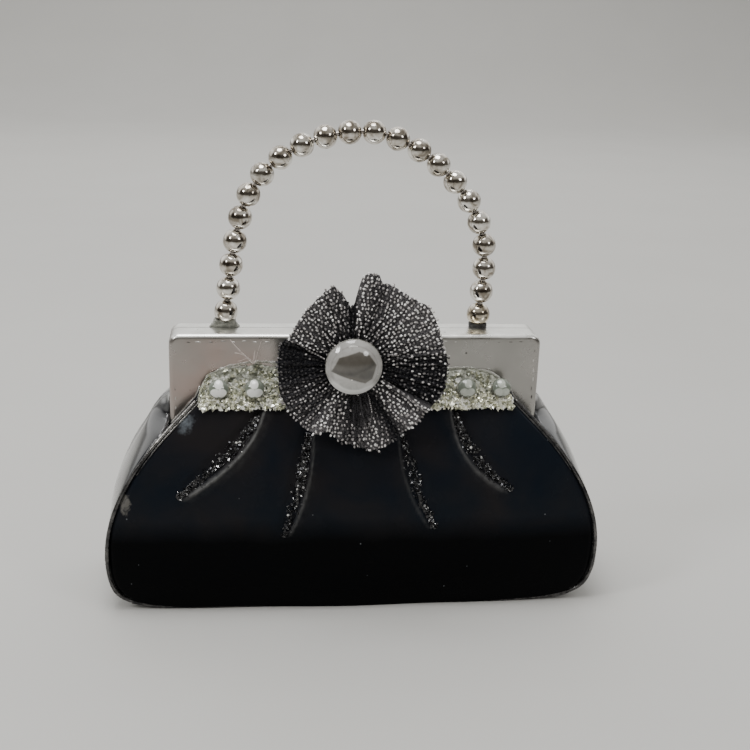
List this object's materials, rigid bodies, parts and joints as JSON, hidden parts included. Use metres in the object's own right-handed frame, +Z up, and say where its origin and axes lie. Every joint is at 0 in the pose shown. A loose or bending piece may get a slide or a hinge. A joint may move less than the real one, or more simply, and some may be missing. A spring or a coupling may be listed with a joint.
{
  "type": "evening bag",
  "caption": "Framed black patent evening bag with pleated front, glitter band, mesh rosette, beaded arch handle and a hinged kiss-lock silver frame that opens.",
  "frame": {"origin": "middle of the flat underside, on the surface the bag stands on, under the middle of the pouch's depth", "axes": "+X to the right across the bag seen from the front, -Y towards the front with the flower, +Z up"},
  "size_m": [0.162, 0.0513, 0.1573],
  "materials": {
    "frame_silver": "bright silver plating with fine scratches",
    "clasp_silver": "polished silver plating",
    "fixings": "plain steel",
    "handle_wire": "dull drawn wire",
    "collar_dark": "darkened steel",
    "bead_silver": "mirror-bright silver plating",
    "patent": "glossy black patent",
    "edging": "thin silver-painted edging, slightly ragged",
    "stiff_board": "pressed greyboard",
    "lining": "grey satin",
    "band_glitter": "champagne crushed glitter set in clear resin",
    "gem_clear": "clear faceted stones",
    "pleat_glitter": "black and gunmetal glitter in the pleats",
    "rosette_mesh": "black metallic mesh ribbon with silver grains",
    "felt_black": "black felt",
    "cabochon_clear": "clear domed glass"
  },
  "bodies": {
    "root": {"front_frame": "frame_silver", "kiss_lock_front": "clasp_silver", "hinge_rivets": "fixings", "flower_stud": "fixings", "front_panel": "patent", "rear_panel": "patent", "gusset_left": "patent", "gusset_right": "patent", "base_panel": "patent", "front_rim": "edging", "rear_rim": "edging", "front_stiffener": "stiff_board", "base_board": "stiff_board", "lining_front": "lining", "lining_rear": "lining", "lining_left": "lining", "lining_right": "lining", "lining_base": "lining", "glitter_band": "band_glitter", "band_gems": "gem_clear", "pleat_glitter_1": "pleat_glitter", "pleat_glitter_2": "pleat_glitter", "pleat_glitter_3": "pleat_glitter", "pleat_glitter_4": "pleat_glitter", "flower_rosette": "rosette_mesh", "flower_backing": "felt_black", "flower_spacer": "felt_black", "flower_cabochon": "cabochon_clear"},
    "rear_half": {"rear_frame": "frame_silver", "kiss_lock_rear": "clasp_silver", "rear_yoke": "patent", "rear_stiffener": "stiff_board", "handle_wire": "handle_wire", "handle_collar_left": "collar_dark", "handle_collar_right": "collar_dark", "handle_nuts": "fixings", "bead_1": "bead_silver", "bead_2": "bead_silver", "bead_3": "bead_silver", "bead_4": "bead_silver", "bead_5": "bead_silver", "bead_6": "bead_silver", "bead_7": "bead_silver", "bead_8": "bead_silver", "bead_9": "bead_silver", "bead_10": "bead_silver", "bead_11": "bead_silver", "bead_12": "bead_silver", "bead_13": "bead_silver", "bead_14": "bead_silver", "bead_15": "bead_silver", "bead_16": "bead_silver", "bead_17": "bead_silver", "bead_18": "bead_silver", "bead_19": "bead_silver", "bead_20": "bead_silver", "bead_21": "bead_silver", "bead_22": "bead_silver"}
  },
  "joints": [
    {"name": "frame_hinge", "type": "hinge", "parent": "root", "child": "rear_half", "pos_m": [0, 0.001, 0.0615], "axis": [-1, 0, 0], "range_deg": [0, 45]}
  ]
}
